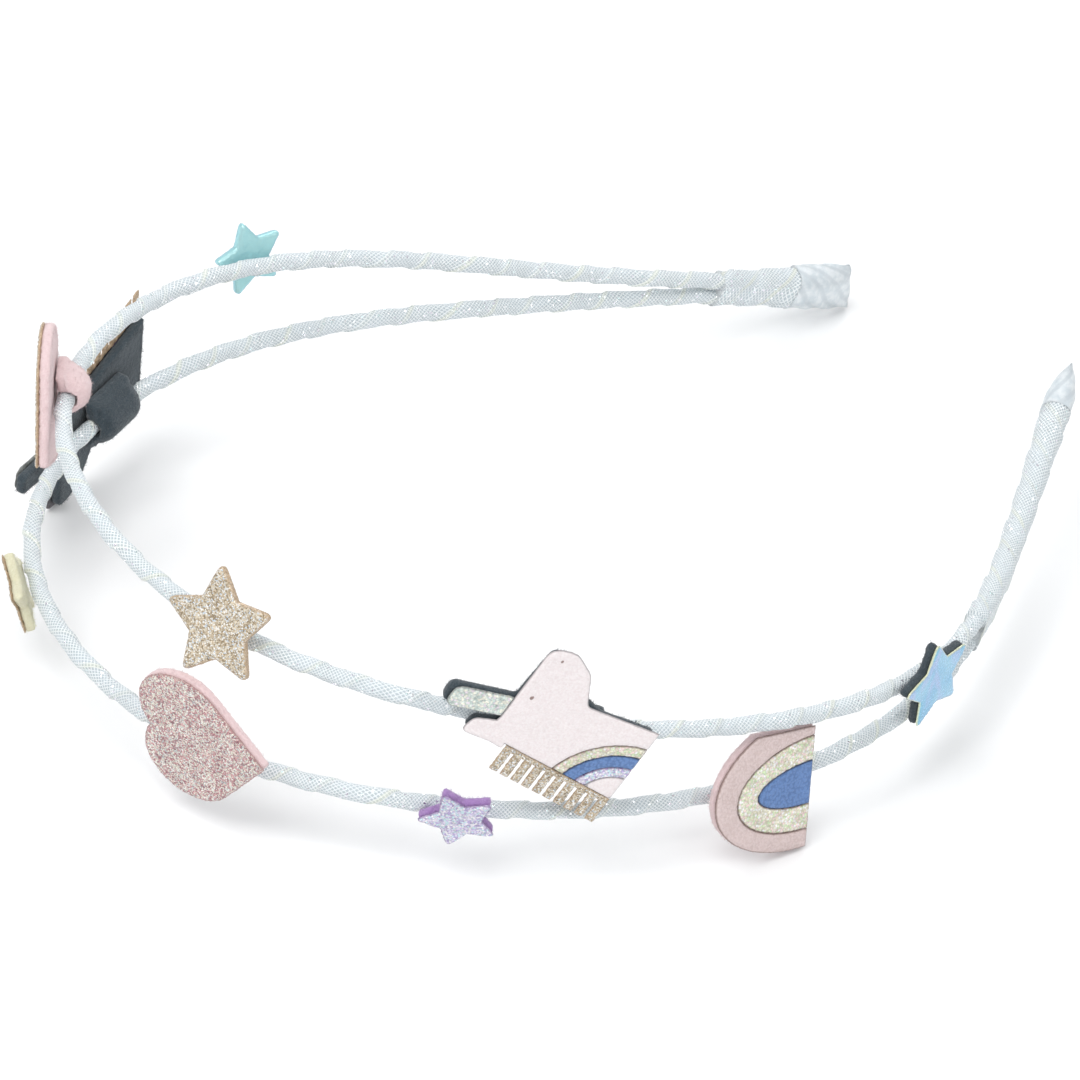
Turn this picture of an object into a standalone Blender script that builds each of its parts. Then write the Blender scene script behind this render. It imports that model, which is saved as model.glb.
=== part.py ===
"""Double-strand charm headband, lying on its side as it rests on a table.

Two wires, each wrapped in a shimmer ribbon, run from tip to tip. They lie side by side at the tips and part over
the crown of the head. Layered felt and glitter charms are glued along their outer side: stars, hearts, a rainbow
and two unicorn heads.

The band is drawn in its own plane first, in millimetres: the crown is at y = 0, the tips are near y = 150, and z
is across the band's width. The empty "headband" then lays it on the surface. Origin: the middle of the footprint,
on the surface. +Y runs from the crown to the tips, +Z is up.
"""
from math import acos, asin, atan2, ceil, cos, hypot, pi, radians, sin, tan

import bmesh
import bpy
import numpy as np
from mathutils import Matrix, Vector

MM = 0.001
GAP = 0.3  # clearance between pieces that touch, mm
WRAP_GAP = 0.7  # and between a wire's end and the wider binding that follows it

# Band: x and y of its midline, height z, and half the distance between the wires' centres, mm
STATIONS = (
    (-54.5, 146.0, -13.0, 1.3),
    (-51.5, 125.5, -9.0, 1.3),
    (-48.0, 85.5, -2.5, 3.7),
    (-45.5, 46.0, 0.0, 7.5),
    (-27.0, 11.0, 0.0, 10.2),
    (-12.0, 2.0, 0.0, 11.0),
    (12.0, 2.0, 0.0, 11.0),
    (27.5, 10.5, 0.0, 10.5),
    (48.0, 44.5, 0.0, 8.5),
    (50.0, 84.0, -1.5, 6.0),
    (35.0, 120.5, -2.5, 2.6),
    (12.0, 141.0, -0.5, 1.3),
    (-11.0, 157.0, 7.5, 1.3),
)
WIRE_RADIUS = 1.25  # a wire with its ribbon
WRAP_RADIUS = 1.6  # the ribbon bound round both wires near a tip
FAR_WRAP = (-159.0, -145.5)  # stretches of the midline, measured from the crown
FAR_TIP = (-170.0, -159.0)
NEAR_WRAP = (159.0, 202.0)
NEAR_TIP = (202.0, 208.3)
TIP_FLARE = 0.6  # how much the satin cover widens each way at its end
TIP_EDGE = 0.45  # half the thickness that it is pressed flat to there
TIP_SLANT = 0.42  # how much further its upper side reaches at the far tip, as a share of the height
WRAP_SWELL = 0.5  # the binding is this much thicker where the satin cover begins
WIRE_POINTS = 84

# Layers of a charm, outwards from the wire's centre
FELT = (WIRE_RADIUS + GAP, WIRE_RADIUS + GAP + 1.1)
FACE = (FELT[1] + GAP, FELT[1] + GAP + 1.0)
THIN_FACE = (FELT[1] + GAP, FELT[1] + GAP + 0.6)
SHEET = (WIRE_RADIUS + GAP, WIRE_RADIUS + GAP + 1.2)

# Where each charm sits: wire, distance from the crown, height on the wire, turn in its own plane, tilt towards +z
# and yaw along the band (mm and degrees)
PLACES = {
    "blue_star": ("middle", 141.0, 4.1, 11.3, 7.2, 0.0),
    "purple_star": ("lower", 68.9, 1.7, 33.2, -10.8, -5.3),
    "gold_star": ("upper", 32.2, 1.0, 23.1, 18.7, -11.0),
    "cyan_star": ("upper", -67.2, 0.5, 56.7, -19.3, -2.4),
    "yellow_star": ("lower", -4.0, 0.0, 15.0, -27.0, -7.0),
    "rose_heart": ("lower", 32.4, 4.4, 103.0, -12.0, -5.0),
    "side_heart": ("upper", -20.4, -0.8, 75.0, -13.0, 7.0),
    "rainbow": ("lower", 119.7, 0.6, 90.0, 16.0, 0.0),
    "unicorn": ("upper", 78.9, -0.1, 72.5, -0.8, -1.6),
    "unicorn_2": ("lower", -43.0, 0.9, -97.0, -6.0, 5.0),
}
CHARM_REACH, CHARM_STEP = 20.0, 0.5  # how far along the wires a charm's back is checked for clearance
STAR_INNER = 0.52  # a star's inner corners, as a share of its radius
STAR_SIZES = {"blue_star": 7.3, "purple_star": 5.8, "gold_star": 8.7, "cyan_star": 5.9, "yellow_star": 6.3}
HEART_LOBE, HEART_SPREAD, HEART_POINT = 7.0, 4.2, 12.6  # lobe radius, lobes' half distance, depth of the point

RAINBOW_BANDS = ((11.0, 16.6, 0.0), (7.3, 12.8, -0.9), (3.4, 9.2, -0.9))  # each arch: half width, height, middle's x
RAINBOW_TRIM = ((7.7, 0.0), (8.7, 9.0))  # the upper wire crosses the rainbow's top, so it ends along this line

# Unicorn head, facing +x and upright along +y
HEAD_BASE = -11.8
NECK_BACK, NECK_TOP = (-7.6, HEAD_BASE), (-4.0, 7.0)
NECK_FRONT, THROAT = (6.1, HEAD_BASE), (6.8, 0.0)
MUZZLE = ((12.1, 2.6), (14.8, 6.2), (14.4, 9.9))
FELT_THROAT = ((6.4, -3.2), (8.0, 0.4))
FELT_MUZZLE = ((12.0, 2.9), (14.1, 6.2), (13.8, 9.4))
FOREHEAD, HORN_ROOT_BACK = (4.9, 9.9), (0.9, 9.9)
EAR = ((0.1, 10.1), (-0.6, 13.2), (-3.2, 13.8), (-3.5, 9.2))
HORN_TIP_BACK, HORN_TIP_FRONT = (-0.1, 19.2), (3.9, 19.5)
HORN_SHORT, HORN_INSET = 1.0, 0.3  # the horn's glitter ends this far before its felt, and inside its sides
MANE_STRIP, MANE_TOOTH, MANE_TEETH, MANE_REACH = 0.6, 1.1, 10, 3.8
BAND_RADII = (10.7, 8.8, 6.6, 4.8)  # rings round the neck's back corner: yellow, blue, lilac, then plain

# Felt patches that clamp the wire behind a charm: length along the wire, half width
PATCHES = {"unicorn": (11.0, 4.2), "unicorn_2": (9.0, 3.9), "side_heart": (5.8, 3.6)}
PATCH_INNER, PATCH_SHEET = 1.7, 1.0  # radius of the channel for the wire, and the felt's thickness
PATCH_SLACK = 0.3  # the channel's round bottom is centred this far behind the wire's own centre
PATCH_DRAPE = 0.4  # below 1 the sheet falls away from the wire less steeply

# Rest on the surface
REST_TILT = (-3.37, 1.96)  # about X and Y, degrees
REST_SHIFT = (-0.18, -75.63, 23.93)

RIBBON = (0.72, 0.78, 0.80)
SATIN = (0.70, 0.76, 0.78)
CHARCOAL = (0.06, 0.08, 0.09)
PEARL_PINK = (0.86, 0.76, 0.76)
DUSTY_PINK = (0.68, 0.53, 0.50)
PALE_PINK = (0.83, 0.64, 0.65)
GOLD_GLITTER = (0.62, 0.50, 0.33)
YELLOW_GLITTER = (0.80, 0.78, 0.52)
LEATHER_BLUE = (0.13, 0.24, 0.48)
LILAC_GLITTER = (0.58, 0.52, 0.72)


def clear_scene():
    for old in list(bpy.data.objects):
        bpy.data.objects.remove(old, do_unlink=True)


def material(name, colour, roughness, metallic=0.0):
    made = bpy.data.materials.get(name)
    if made is None:
        made = bpy.data.materials.new(name)
        made.use_nodes = True
        shader = made.node_tree.nodes["Principled BSDF"]
        shader.inputs["Base Color"].default_value = (*colour, 1.0)
        shader.inputs["Roughness"].default_value = roughness
        shader.inputs["Metallic"].default_value = metallic
    return made


def natural_spline(knots, values, at):
    """The natural cubic spline through values at the knots, read at each place in at."""
    span = np.diff(knots)
    count = len(knots)
    system = np.eye(count)
    right = np.zeros_like(values)
    for i in range(1, count - 1):
        system[i, i - 1:i + 2] = span[i - 1], 2 * (span[i - 1] + span[i]), span[i]
        right[i] = 6 * ((values[i + 1] - values[i]) / span[i] - (values[i] - values[i - 1]) / span[i - 1])
    bend = np.linalg.solve(system, right)
    i = np.clip(np.searchsorted(knots, at, "right") - 1, 0, count - 2)
    back, ahead, width = (knots[i + 1] - at)[:, None], (at - knots[i])[:, None], span[i][:, None]
    curved = (bend[i] * back**3 + bend[i + 1] * ahead**3) / (6 * width)
    level = (values[i] / width - bend[i] * width / 6) * back
    return curved + level + (values[i + 1] / width - bend[i + 1] * width / 6) * ahead


class Band:
    """The midline of the band, read by its distance from the crown."""

    def __init__(self, stations, steps=600):
        rows = np.array(stations)
        knots = np.concatenate([[0], np.cumsum(np.hypot(*np.diff(rows[:, :2], axis=0).T))])
        self.rows = natural_spline(knots, rows, np.linspace(0, knots[-1], steps))
        run = np.concatenate([[0], np.cumsum(np.hypot(*np.diff(self.rows[:, :2], axis=0).T))])
        self.run = run - run[self.rows[:, 1].argmin()]

    def at(self, distance):
        """x, y, z and half spacing."""
        return np.array([np.interp(distance, self.run, column) for column in self.rows.T])

    def point(self, distance, wire="middle"):
        x, y, z, half = self.at(distance)
        return Vector((x, y, z + {"upper": half, "lower": -half, "middle": 0.0}[wire]))

    def along(self, distance):
        ahead, back = (self.at(min(max(distance + d, self.run[0]), self.run[-1])) for d in (0.5, -0.5))
        return Vector((*(ahead - back)[:2], 0.0)).normalized()

    def slope(self, distance):
        ahead, back = (self.at(min(max(distance + d, self.run[0]), self.run[-1])) for d in (0.5, -0.5))
        return Vector((ahead - back)[:3]).normalized()


def new_object(name, mesh, look, parent):
    made = bpy.data.objects.new(name, mesh)
    bpy.context.collection.objects.link(made)
    made.parent = parent
    made.data.materials.append(look)
    return made


def mesh_from(name, build):
    """A mesh that build(bm) has filled in, with its faces pointing out."""
    bm = bmesh.new()
    build(bm)
    bmesh.ops.recalc_face_normals(bm, faces=bm.faces)
    mesh = bpy.data.meshes.new(name)
    bm.to_mesh(mesh)
    bm.free()
    return mesh


def wire(name, band, which, start, end, look, parent):
    """One ribbon-wrapped wire, as a bevelled curve with filled caps."""
    curve = bpy.data.curves.new(name, "CURVE")
    curve.dimensions = "3D"
    curve.bevel_depth = WIRE_RADIUS * MM
    curve.bevel_resolution = 3
    curve.use_fill_caps = True
    spline = curve.splines.new("POLY")
    spline.points.add(WIRE_POINTS - 1)
    for i, place in enumerate(np.linspace(start, end, WIRE_POINTS)):
        spline.points[i].co = (*(band.point(place, which) * MM), 1.0)
    return new_object(name, curve, look, parent)


def stadium(half, radius, sides=8):
    """Outline of two round wires held together: (out, up) pairs, half is half their centres' distance."""
    turns = [pi * i / sides for i in range(sides + 1)]
    top = [(radius * cos(a), half + radius * sin(a)) for a in turns]
    return top + [(-x, -y) for x, y in top]


def sleeve(name, band, stretch, section, look, parent, steps, slant=0.0):
    """A solid swept along the midline; section(share, place) gives its outline at that share of the stretch.

    Towards its far end slant moves each point on along the band by that share of its height."""
    def build(bm):
        rings = []
        for i in range(steps + 1):
            share = i / steps
            place = stretch[0] + share * (stretch[1] - stretch[0])
            ahead = band.slope(place)
            out = ahead.cross(Vector((0, 0, 1))).normalized()
            up = out.cross(ahead)
            centre = band.point(place)
            lead = ahead * slant * share
            rings.append([bm.verts.new((centre + out * x + (up + lead) * y) * MM) for x, y in section(share, place)])
        for low, high in zip(rings, rings[1:]):
            for j in range(len(low)):
                k = (j + 1) % len(low)
                bm.faces.new((low[j], low[k], high[k], high[j]))
        bm.faces.new(rings[0][::-1])
        bm.faces.new(rings[-1])
    made = new_object(name, mesh_from(name, build), look, parent)
    made.data.shade_smooth()
    made.data.set_sharp_from_angle(angle=radians(40))
    return made


def rounded(points, radii):
    """The polygon with each corner turned into an arc of its own radius."""
    if not hasattr(radii, "__len__"):
        radii = [radii] * len(points)
    outline = []
    for i, (corner, radius) in enumerate(zip(points, radii)):
        here, before, after = (Vector(p) for p in (corner, points[i - 1], points[(i + 1) % len(points)]))
        to_before, to_after = before - here, after - here
        opening = to_before.angle(to_after)
        reach = min(radius / tan(opening / 2), 0.45 * to_before.length, 0.45 * to_after.length)
        if reach < 0.05:
            outline.append(tuple(here))
            continue
        start, end = here + reach * to_before.normalized(), here + reach * to_after.normalized()
        steps = max(2, ceil((pi - opening) / radians(22)))
        for j in range(steps + 1):
            t = j / steps
            outline.append(tuple((1 - t) ** 2 * start + 2 * t * (1 - t) * here + t**2 * end))
    return outline


def star_outline(radius):
    points = []
    for i in range(10):
        reach = radius if i % 2 == 0 else radius * STAR_INNER
        turn = pi / 2 + i * pi / 5
        points.append((reach * cos(turn), reach * sin(turn)))
    return rounded(points, [0.09 * radius, 0.05 * radius] * 5)


def heart_outline():
    """Two round lobes with straight sides down to the point."""
    notch = pi - acos(HEART_SPREAD / HEART_LOBE)
    to_point = atan2(-HEART_POINT, -HEART_SPREAD)
    touch = to_point + acos(HEART_LOBE / hypot(HEART_SPREAD, HEART_POINT))
    steps = 16
    lobe = []
    for i in range(steps + 1):
        turn = notch + (touch - notch) * i / steps
        lobe.append((HEART_SPREAD + HEART_LOBE * cos(turn), HEART_LOBE * sin(turn)))
    return lobe + [(0.0, -HEART_POINT)] + [(-x, y) for x, y in lobe[:0:-1]]


def arch(half, height, middle, start=0.0, steps=20):
    """Points of a half ellipse from its right foot, or from the angle start, to its left foot."""
    turns = [start + (pi - start) * i / steps for i in range(steps + 1)]
    return [(middle + half * cos(a), height * sin(a)) for a in turns]


def grown_arch(band_size, by):
    half, height, middle = band_size
    return arch(half + by, height + by, middle)


def arch_band(outer, inner):
    return grown_arch(outer, -GAP / 2) + grown_arch(inner, GAP / 2)[::-1]


def trimmed_arch(half, height, middle):
    """An arch whose right side ends along the line RAINBOW_TRIM."""
    foot, (top_x, _) = RAINBOW_TRIM
    start = acos((top_x - middle) / half)
    return [foot] + arch(half, height, middle, start)


def horn_outline():
    """The horn's glitter, a little smaller than its felt."""
    root = FOREHEAD[1] + GAP
    points = [
        (HORN_ROOT_BACK[0] + HORN_INSET, root),
        (FOREHEAD[0] - HORN_INSET, root),
        (HORN_TIP_FRONT[0] - HORN_INSET, HORN_TIP_FRONT[1] - HORN_SHORT),
        (HORN_TIP_BACK[0] + HORN_INSET, HORN_TIP_BACK[1] - HORN_SHORT),
    ]
    return rounded(points, [0, 0, 1.4, 1.2])


def felt_outline():
    points = [NECK_BACK, NECK_FRONT, *FELT_THROAT, *FELT_MUZZLE, FOREHEAD]
    points += [HORN_TIP_FRONT, HORN_TIP_BACK, HORN_ROOT_BACK, *EAR, NECK_TOP]
    return rounded(points, [0.6, 1.0, 2.0, 1.2, 3.0, 2.5, 2.2, 0, 1.7, 1.5, 0, 0, 1.3, 1.0, 2.0, 0])


NECK_LEAN = atan2(NECK_TOP[1] - NECK_BACK[1], NECK_TOP[0] - NECK_BACK[0])
INSET = MANE_STRIP + GAP  # the face stops short of the neck's back edge, where the mane is glued on


def ring_end(radius):
    """Angle at which a ring round the neck's back corner meets the face's back edge."""
    return NECK_LEAN - asin(INSET / radius)


def ring(radius, backwards=False, steps=9):
    turns = [ring_end(radius) * i / steps for i in range(steps + 1)]
    points = [(NECK_BACK[0] + radius * cos(a), NECK_BACK[1] + radius * sin(a)) for a in turns]
    return points[::-1] if backwards else points


def ring_band(outer, inner):
    return ring(outer - GAP / 2) + ring(inner + GAP / 2, backwards=True)


def face_outline():
    """The head and upper neck, down to the first ring."""
    inset_top = (NECK_TOP[0] + INSET / sin(NECK_LEAN), NECK_TOP[1])
    points = [NECK_FRONT, THROAT, *MUZZLE, FOREHEAD, HORN_ROOT_BACK, *EAR, NECK_TOP, inset_top]
    head = rounded(points, [0, 1.5, 3.0, 2.5, 2.2, 0, 0, 0, 1.3, 1.0, 2.0, 0, 0])
    return head + ring(BAND_RADII[0] + GAP / 2, backwards=True)


def corner_outline():
    foot = (NECK_BACK[0] + INSET / sin(NECK_LEAN), HEAD_BASE)
    return [foot] + ring(BAND_RADII[3] - GAP / 2)


def mane_outline():
    """A comb: a strip along the neck's back edge with square teeth pointing backwards."""
    def edge(height, back=0.0):
        share = height / (NECK_TOP[1] - NECK_BACK[1])
        return NECK_BACK[0] + share * (NECK_TOP[0] - NECK_BACK[0]) - back, NECK_BACK[1] + height

    length = NECK_TOP[1] - NECK_BACK[1] - 2 * GAP
    pitch = (length - MANE_TOOTH) / (MANE_TEETH - 1)
    points = [edge(0.0, -MANE_STRIP), edge(length, -MANE_STRIP)]
    for i in reversed(range(MANE_TEETH)):
        foot, head = i * pitch, i * pitch + MANE_TOOTH
        points += [edge(head), edge(head, MANE_REACH), edge(foot, MANE_REACH), edge(foot)]
    return points


def slab(name, outline, layer, look, parent):
    """A flat piece of a charm: the outline, extruded through its layer."""
    def build(bm):
        ring_low = [bm.verts.new((x * MM, y * MM, layer[0] * MM)) for x, y in outline]
        bottom = bm.faces.new(ring_low)
        lifted = bmesh.ops.extrude_face_region(bm, geom=[bottom])["geom"]
        top = [v for v in lifted if isinstance(v, bmesh.types.BMVert)]
        bmesh.ops.translate(bm, verts=top, vec=(0, 0, (layer[1] - layer[0]) * MM))
    return new_object(name, mesh_from(name, build), look, parent)


def patch(name, place, band, look):
    """A felt sheet glued over the wire behind the charm called name, with a channel for the wire."""
    length, half = PATCHES[name]
    which, distance = PLACES[name][:2]
    to_plate = place.rotation_euler.to_matrix().transposed()
    start, end = (band.point(distance + d, which) for d in (-length / 2, length / 2))
    run = to_plate @ (end - start)
    middle = to_plate @ ((start + end) / 2 - place.location / MM)
    top = FELT[0] - GAP
    flange = top - PATCH_SHEET
    bottom = middle.z - PATCH_SLACK
    drop = flange - (bottom - PATCH_INNER - PATCH_SHEET)
    steps = 12
    profile = [(half, top)]
    for i in range(steps + 1):
        share = 1 - 2 * i / steps
        profile.append((half * share, flange - drop * (0.5 + 0.5 * cos(pi * share)) ** PATCH_DRAPE))
    profile += [(-half, top), (-PATCH_INNER, top)]
    turns = [pi * i / steps for i in range(steps + 1)]
    profile += [(-PATCH_INNER * cos(a), bottom - PATCH_INNER * sin(a)) for a in turns]
    profile += [(PATCH_INNER, top)]

    def build(bm):
        end_face = bm.faces.new([bm.verts.new((-length / 2 * MM, y * MM, z * MM)) for y, z in profile])
        lifted = bmesh.ops.extrude_face_region(bm, geom=[end_face])["geom"]
        verts = [v for v in lifted if isinstance(v, bmesh.types.BMVert)]
        bmesh.ops.translate(bm, verts=verts, vec=(length * MM, 0, 0))
    made = new_object(name + "_patch", mesh_from(name + "_patch", build), look, place)
    made.location = (middle.x * MM, middle.y * MM, 0)
    made.rotation_euler = (0, 0, atan2(run.y, run.x))


def clearance(frame, origin, outline, name, band):
    """How far a charm moves out so that its back clears the wires that it is glued to."""
    which, distance = PLACES[name][:2]
    xs, ys = zip(*outline)
    lift = 0.0
    for wire_name in ("upper", "lower") if which == "middle" else (which,):
        for place in np.arange(distance - CHARM_REACH, distance + CHARM_REACH, CHARM_STEP):
            x, y, z = frame.transposed() @ (band.point(place, wire_name) - origin)
            over_x = min(xs) - WIRE_RADIUS < x < max(xs) + WIRE_RADIUS
            over_y = min(ys) - WIRE_RADIUS < y < max(ys) + WIRE_RADIUS
            if over_x and over_y:
                lift = max(lift, z)
    return lift


def charm_place(name, band, outline):
    """An empty on the wire: its z points outwards, its x and y lie in the charm's plane."""
    which, distance, lift, turn, tilt, yaw = PLACES[name]
    along = band.along(distance)
    out = Vector((along.y, -along.x, 0))
    up = Vector((0, 0, 1))
    normal = out * cos(radians(yaw)) + along * sin(radians(yaw))
    normal = normal * cos(radians(tilt)) + up * sin(radians(tilt))
    side = up.cross(normal).normalized()
    rise = normal.cross(side)
    frame = Matrix((side, rise, normal)).transposed() @ Matrix.Rotation(radians(turn), 3, "Z")
    empty = bpy.data.objects.new(name + "_place", None)
    bpy.context.collection.objects.link(empty)
    empty.parent = headband
    origin = band.point(distance, which) + lift * rise
    empty.location = (origin + clearance(frame, origin, outline, name, band) * normal) * MM
    empty.rotation_euler = frame.to_euler()
    return empty


def star(name, band, felt, face, layer=FACE):
    outline = star_outline(STAR_SIZES[name])
    place = charm_place(name, band, outline)
    slab(name + "_back", outline, FELT, felt, place)
    slab(name + "_face", outline, layer, face, place)


def sheet_star(name, band, look):
    """A star cut from one sheet."""
    outline = star_outline(STAR_SIZES[name])
    slab(name, outline, SHEET, look, charm_place(name, band, outline))


def heart(name, band, felt, face):
    place = charm_place(name, band, heart_outline())
    slab(name + "_back", heart_outline(), FELT, felt, place)
    slab(name + "_face", heart_outline(), FACE, face, place)
    return place


def rainbow(band):
    outer, middle, inner = RAINBOW_BANDS
    place = charm_place("rainbow", band, trimmed_arch(*outer))
    slab("rainbow_back", trimmed_arch(*outer), FELT, pale_pink, place)
    slab("rainbow_pink", trimmed_arch(*outer) + grown_arch(middle, GAP / 2)[::-1], FACE, dusty_pink, place)
    slab("rainbow_yellow", arch_band(middle, inner), FACE, yellow_glitter, place)
    slab("rainbow_blue", grown_arch(inner, -GAP / 2), FACE, leather_blue, place)


def unicorn(name, band):
    place = charm_place(name, band, felt_outline())
    slab(name + "_felt", felt_outline(), FELT, charcoal, place)
    slab(name + "_face", face_outline(), FACE, pearl_pink, place)
    slab(name + "_horn", horn_outline(), FACE, pearl_glitter, place)
    slab(name + "_mane", mane_outline(), FACE, gold_glitter, place)
    slab(name + "_band_yellow", ring_band(BAND_RADII[0], BAND_RADII[1]), FACE, yellow_glitter, place)
    slab(name + "_band_blue", ring_band(BAND_RADII[1], BAND_RADII[2]), FACE, leather_blue, place)
    slab(name + "_band_lilac", ring_band(BAND_RADII[2], BAND_RADII[3]), FACE, lilac_glitter, place)
    slab(name + "_corner", corner_outline(), FACE, pearl_pink, place)
    return place


def wrap_section(share, place):
    return stadium(band.at(place)[3], WRAP_RADIUS + WRAP_SWELL * share**2)


def tip_section(share, place):
    """Round at the wrap, pressed flat and wider at the end."""
    radius = WRAP_RADIUS + WRAP_SWELL
    half = band.at(place)[3]
    squash = 1 - share**3 * (1 - TIP_EDGE / radius)
    widen = 1 + share * TIP_FLARE / (half + radius)
    return [(x * squash, y * widen) for x, y in stadium(half, radius)]


clear_scene()
ribbon = material("ribbon", RIBBON, 0.45)
satin = material("satin", SATIN, 0.35)
charcoal = material("felt_charcoal", CHARCOAL, 0.95)
pearl_pink = material("pearl_pink", PEARL_PINK, 0.45)
dusty_pink = material("leather_dusty_pink", DUSTY_PINK, 0.6)
pale_pink = material("felt_pale_pink", PALE_PINK, 0.9)
gold_glitter = material("glitter_gold", GOLD_GLITTER, 0.4, 0.3)
yellow_glitter = material("glitter_yellow", YELLOW_GLITTER, 0.4, 0.1)
leather_blue = material("leather_blue", LEATHER_BLUE, 0.6)
lilac_glitter = material("glitter_lilac", LILAC_GLITTER, 0.4, 0.1)
pearl_glitter = material("glitter_pearl", (0.72, 0.76, 0.70), 0.35, 0.1)
rose_glitter = material("glitter_rose", (0.64, 0.42, 0.42), 0.4, 0.2)
purple_felt = material("felt_purple", (0.40, 0.22, 0.48), 0.9)
blue_foil = material("foil_blue", (0.36, 0.52, 0.80), 0.2, 0.4)
cyan_pearl = material("pearl_cyan", (0.42, 0.72, 0.76), 0.3, 0.1)
pale_yellow = material("felt_pale_yellow", (0.80, 0.76, 0.52), 0.9)

band = Band(STATIONS)
headband = bpy.data.objects.new("headband", None)
bpy.context.collection.objects.link(headband)
headband.rotation_euler = [radians(a) for a in (*REST_TILT, 0.0)]
headband.location = [a * MM for a in REST_SHIFT]

for which in ("upper", "lower"):
    wire("wire_" + which, band, which, FAR_WRAP[1] + WRAP_GAP, NEAR_WRAP[0] - WRAP_GAP, ribbon, headband)
far_wrap = (FAR_WRAP[1], FAR_WRAP[0] + GAP)
sleeve("wrap_far", band, far_wrap, wrap_section, ribbon, headband, 6)
sleeve("tip_far", band, FAR_TIP[::-1], tip_section, satin, headband, 6, TIP_SLANT)
near_wrap = (NEAR_WRAP[0], NEAR_WRAP[1] - GAP)
sleeve("wrap_near", band, near_wrap, wrap_section, ribbon, headband, 16)
sleeve("tip_near", band, NEAR_TIP, tip_section, satin, headband, 5)

star("blue_star", band, charcoal, blue_foil)
star("purple_star", band, purple_felt, lilac_glitter)
star("yellow_star", band, pale_yellow, gold_glitter, THIN_FACE)
sheet_star("gold_star", band, gold_glitter)
sheet_star("cyan_star", band, cyan_pearl)
heart("rose_heart", band, pale_pink, rose_glitter)
patch("side_heart", heart("side_heart", band, pale_pink, gold_glitter), band, pale_pink)
rainbow(band)
for name in ("unicorn", "unicorn_2"):
    patch(name, unicorn(name, band), band, charcoal)
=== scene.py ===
"""Looks of the charm headband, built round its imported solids.

The band's line and the charms' places repeat the named values of part.py, in millimetres: crown at y = 0,
tips near y = 150, z across the band. TO_ROW lays that drawing on the floor, in metres, as the solids lie.
"""
from math import cos, pi, radians, sin, sqrt

import bmesh
import bpy
import numpy as np
from mathutils import Euler, Matrix, Vector, noise
from mathutils.geometry import delaunay_2d_cdt


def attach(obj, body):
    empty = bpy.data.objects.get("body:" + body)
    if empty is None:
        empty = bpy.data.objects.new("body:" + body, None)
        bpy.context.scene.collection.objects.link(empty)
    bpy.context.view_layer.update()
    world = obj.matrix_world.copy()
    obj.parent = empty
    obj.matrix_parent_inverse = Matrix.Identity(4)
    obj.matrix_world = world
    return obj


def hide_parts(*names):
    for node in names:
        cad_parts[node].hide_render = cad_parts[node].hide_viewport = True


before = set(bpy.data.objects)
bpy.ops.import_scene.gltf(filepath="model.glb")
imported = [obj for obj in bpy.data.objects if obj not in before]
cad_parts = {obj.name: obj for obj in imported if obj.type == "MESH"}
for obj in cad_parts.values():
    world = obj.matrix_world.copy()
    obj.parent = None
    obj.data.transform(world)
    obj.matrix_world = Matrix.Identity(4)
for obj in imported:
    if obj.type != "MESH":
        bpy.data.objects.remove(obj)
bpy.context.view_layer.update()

MM = 0.001
SEED = 7
random = np.random.default_rng(SEED)

# Band: x and y of its midline, height z, and half the distance between the wires' centres, mm
STATIONS = (
    (-54.5, 146.0, -13.0, 1.3),
    (-51.5, 125.5, -9.0, 1.3),
    (-48.0, 85.5, -2.5, 3.7),
    (-45.5, 46.0, 0.0, 7.5),
    (-27.0, 11.0, 0.0, 10.2),
    (-12.0, 2.0, 0.0, 11.0),
    (12.0, 2.0, 0.0, 11.0),
    (27.5, 10.5, 0.0, 10.5),
    (48.0, 44.5, 0.0, 8.5),
    (50.0, 84.0, -1.5, 6.0),
    (35.0, 120.5, -2.5, 2.6),
    (12.0, 141.0, -0.5, 1.3),
    (-11.0, 157.0, 7.5, 1.3),
)
WIRE_RADIUS = 1.25
WRAP_RADIUS = 1.6
WRAP_SWELL = 0.5
FAR_WRAP = (-159.0, -145.5)
FAR_TIP = (-170.0, -159.0)
NEAR_WRAP = (159.0, 202.0)
NEAR_TIP = (202.0, 208.3)
TIP_FLARE = 0.6
TIP_EDGE = 0.45
TIP_SLANT = 0.42
BACK_LOW = 1.55  # height of a charm's lowest face in its own frame

# Wire, distance from the crown, height on the wire, turn, tilt towards +z and yaw, mm and degrees
PLACES = {
    "blue_star": ("middle", 141.0, 4.1, 11.3, 7.2, 0.0),
    "purple_star": ("lower", 68.9, 1.7, 33.2, -10.8, -5.3),
    "gold_star": ("upper", 32.2, 1.0, 23.1, 18.7, -11.0),
    "cyan_star": ("upper", -67.2, 0.5, 56.7, -19.3, -2.4),
    "yellow_star": ("lower", -4.0, 0.0, 15.0, -27.0, -7.0),
    "rose_heart": ("lower", 32.4, 4.4, 103.0, -12.0, -5.0),
    "side_heart": ("upper", -20.4, -0.8, 75.0, -13.0, 7.0),
    "rainbow": ("lower", 119.7, 0.6, 90.0, 16.0, 0.0),
    "unicorn": ("upper", 78.9, -0.1, 72.5, -0.8, -1.6),
    "unicorn_2": ("lower", -43.0, 0.9, -97.0, -6.0, 5.0),
}
REST_TILT = (-3.37, 1.96)
REST_SHIFT = (-0.18, -75.63, 23.93)
TO_ROW = Matrix.Scale(MM, 4) @ Matrix.Translation(REST_SHIFT)
TO_ROW = TO_ROW @ Euler([radians(a) for a in (*REST_TILT, 0.0)]).to_matrix().to_4x4()

# Camera: aim in mm, then azimuth from +X, elevation and roll in degrees
AIM = (6.53, -7.01, 20.0)
AZIMUTH, ELEVATION, ROLL = -29.25, 39.56, 12.22
DISTANCE, LENS = 1293.2, 312.25

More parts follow.
